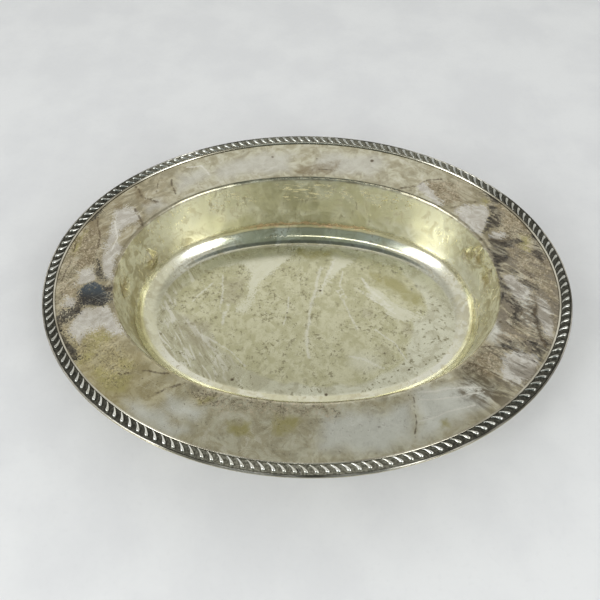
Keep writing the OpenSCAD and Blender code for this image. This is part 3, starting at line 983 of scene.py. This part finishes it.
def wire_plate(name, low, high, painted_highlight_share):
    """Drawn wire: bright on top, dark where it meets its neighbours, with nicks and painted highlights along
    stretches at the back.
    """
    g = Surface(name)
    rise = g.stored("rise")
    broad, fine, grain = g.noise(30, 3), g.noise(1.5, 4, 0.65), g.noise(0.4, 3)
    x, y, _ = g.parts(g.place)
    silver = g.shade(broad, 0.38, 0.62, low, high)
    across = g.math("ABSOLUTE", x)
    # painted highlight: brighter stretches of wire at the back left and back right
    rubbed = g.times(g.smooth(y, 40, 62), g.smooth(across, 72, 84), g.smooth(across, 114, 104))
    silver = g.over(silver, (0.98, 0.95, 0.82), rubbed, painted_highlight_share)
    level = g.line(g.minus(fine, 0.5), 0.5, rise)
    color = g.shade(level, 0.15, 0.6, (0.1, 0.09, 0.07), silver)
    color = g.over(color, (0.22, 0.18, 0.12), g.smooth(grain, 0.6, 0.7), 0.4)
    rough = g.plus(g.smooth(level, 0.2, 0.7, 0.38, 0.18), g.smooth(broad, 0.35, 0.65, 0.05, -0.03))
    height = g.line(fine, 0.02, g.times(grain, 0.005))
    return g.finish(color, 1.0, rough, height)


def solder_plate():
    """Solder: soft grey, a little pitted."""
    g = Surface("join_solder_grey")
    fine, grain = g.noise(0.9, 4, 0.6), g.noise(0.25, 3)
    color = g.shade(fine, 0.35, 0.65, (0.2, 0.19, 0.17), (0.42, 0.41, 0.38))
    color = g.shade(grain, 0.6, 0.7, color, (0.09, 0.08, 0.07))
    return g.finish(color, 1.0, g.smooth(fine, 0.3, 0.7, 0.55, 0.38), g.times(fine, 0.03))


def paper():
    """The pale board that the dish stands on."""
    g = Surface("pale_board")
    cloud, fine = g.noise(60, 4, 0.55), g.noise(3, 3)
    color = g.shade(cloud, 0.35, 0.65, (0.675, 0.675, 0.685), (0.725, 0.725, 0.73))
    color = g.mix(g.smooth(fine, 0.55, 0.75, 0, 0.15), color, (0.62, 0.62, 0.63))
    height = g.line(cloud, 0.5, g.times(fine, 0.05))
    return g.finish(color, 0.0, g.smooth(fine, 0.3, 0.7, 0.75, 0.9), height)


# ---------------- the pieces
BACK_JOIN, FRONT_JOIN = PERIMETER / 4, 3 * PERIMETER / 4

dish_body(plate_top(), plate_under())
bent_strip(
    "bead_wire_round", "bead_wire", "wire_plate",
    wire_plate("bead_silver", (0.34, 0.31, 0.24), (0.66, 0.63, 0.53), 0.9),
    wire_section(BEAD_START, BEAD_WIDTH, BEAD_HEIGHT)
)
bent_strip(
    "edge_wire_round", "edge_wire", "wire_plate",
    wire_plate("edge_silver", (0.1, 0.095, 0.075), (0.5, 0.48, 0.42), 0.1),
    wire_section(EDGE_START, EDGE_WIDTH, EDGE_HEIGHT)
)
for side, run_start, run_end in (
    ("left", BACK_JOIN, FRONT_JOIN), ("right", FRONT_JOIN - PERIMETER, BACK_JOIN)
):
    lobe_band(
        "gadroon_" + side, "gadroon_border_" + side, "border_plate", border_plate("border_silver_" + side),
        run_start + SOLDER_GAP, run_end - SOLDER_GAP, np.arange(LOBES[side] * LOBE_COLUMNS + 1) / LOBE_COLUMNS
    )
SOLDER = solder_plate()
for side, run in (("front", FRONT_JOIN), ("back", BACK_JOIN)):
    lobe_band(
        "solder_" + side, "join_solder_" + side, "solder", SOLDER, run - SOLDER_GAP, run + SOLDER_GAP,
        np.full(5, 0.0)
    )

# ---------------- floor, light and camera
floor_mesh = bpy.data.meshes.new("studio_floor")
corners = [(x * BOARD_HALF, y * BOARD_HALF, 0) for x, y in ((-1, -1), (1, -1), (1, 1), (-1, 1))]
floor_mesh.from_pydata(corners, [], [(0, 1, 2, 3)])
floor = add_object("studio_floor", floor_mesh)
floor_mesh.materials.append(paper())


def make_world():
    """A pale room: light walls, a darker ceiling overhead and a darker side behind the camera."""
    world = bpy.data.worlds.new("studio")
    bpy.context.scene.world = world
    g = Graph(world)
    direction = g.node("TexCoord").outputs["Generated"]
    compass = g.vector("NORMALIZE", g.vector("MULTIPLY", direction, (1, 1, 0)))
    up, across = g.parts(direction)[2], g.parts(compass)[1]
    wall, ceiling = (0.85, 0.85, 0.83), (0.13, 0.15, 0.155)
    room = g.tones(
        up, (0.82, wall), (0.89, (0.50, 0.50, 0.47)), (0.935, (0.46, 0.46, 0.43)),
        (0.948, (0.95, 0.95, 0.90)), (0.958, (0.95, 0.95, 0.90)), (0.972, ceiling)
    )
    behind = g.tones(
        up, (0.14, (0.13, 0.15, 0.15)), (0.34, (0.31, 0.36, 0.36)), (0.988, (0.29, 0.34, 0.33)),
        (0.999, ceiling)
    )
    background = g.tree.nodes["Background"]
    g.feed(background.inputs["Color"], g.shade(across, -0.74, -0.90, room, behind))
    background.inputs["Strength"].default_value = 1.0


def softbox(name, azimuth, elevation, distance, width, height, radiance, color=(1, 1, 1)):
    """A soft light aimed at the dish; azimuth 0 is along +Y, turning to +X."""
    az, el = math.radians(azimuth), math.radians(elevation)
    away = Vector((math.sin(az) * math.cos(el), math.cos(az) * math.cos(el), math.sin(el)))
    data = bpy.data.lights.new(name, "AREA")
    data.shape = "RECTANGLE"
    data.size, data.size_y = width, height
    data.energy = radiance * math.pi * width * height
    data.color = color
    lamp = add_object(name, data)
    lamp.location = away * distance
    lamp.rotation_euler = away.to_track_quat("Z", "Y").to_euler()


CAMERA_PITCH = math.radians(55.37)
CAMERA_TURN = math.radians(1.755)
CAMERA_ROLL = math.radians(-0.23)
CAMERA_AIM = Vector((-3.11 * MM, -18.67 * MM, CREST_Z))
CAMERA_DISTANCE = 357.3 * MM
LENS = 37.9


def make_camera():
    forward = Vector((0, math.cos(CAMERA_PITCH), -math.sin(CAMERA_PITCH)))
    up = Vector((0, math.sin(CAMERA_PITCH), math.cos(CAMERA_PITCH)))
    right = Vector((1, 0, 0))
    turned_right = right * math.cos(CAMERA_ROLL) + up * math.sin(CAMERA_ROLL)
    turned_up = -right * math.sin(CAMERA_ROLL) + up * math.cos(CAMERA_ROLL)
    turn = Matrix.Rotation(CAMERA_TURN, 3, "Z")
    axes = Matrix([turn @ turned_right, turn @ turned_up, turn @ -forward]).transposed()
    camera = add_object("camera", bpy.data.cameras.new("camera"))
    camera.data.lens = LENS
    camera.data.sensor_width = 36
    camera.matrix_world = Matrix.Translation(CAMERA_AIM - turn @ forward * CAMERA_DISTANCE) @ axes.to_4x4()
    bpy.context.scene.camera = camera


make_world()
COOL = (0.78, 0.92, 1.0)
softbox("window_right_low", 142, 28, 1.6, 0.54, 0.62, 4.7)
softbox("window_right_high", 139, 48, 1.6, 0.30, 0.46, 4.5)
softbox("window_right_frame", 138, 34, 1.7, 0.80, 0.98, 0.8, COOL)
softbox("window_left_low", -130, 26, 1.6, 0.52, 0.76, 4.7)
softbox("window_left_high", -130, 48, 1.6, 0.36, 0.44, 4.5)
softbox("window_left_frame", -130, 33, 1.7, 0.84, 1.05, 0.8, COOL)
softbox("tube_light", -154, 65, 1.55, 0.68, 0.05, 8.0)
make_camera()
bpy.context.scene.view_settings.view_transform = "Standard"
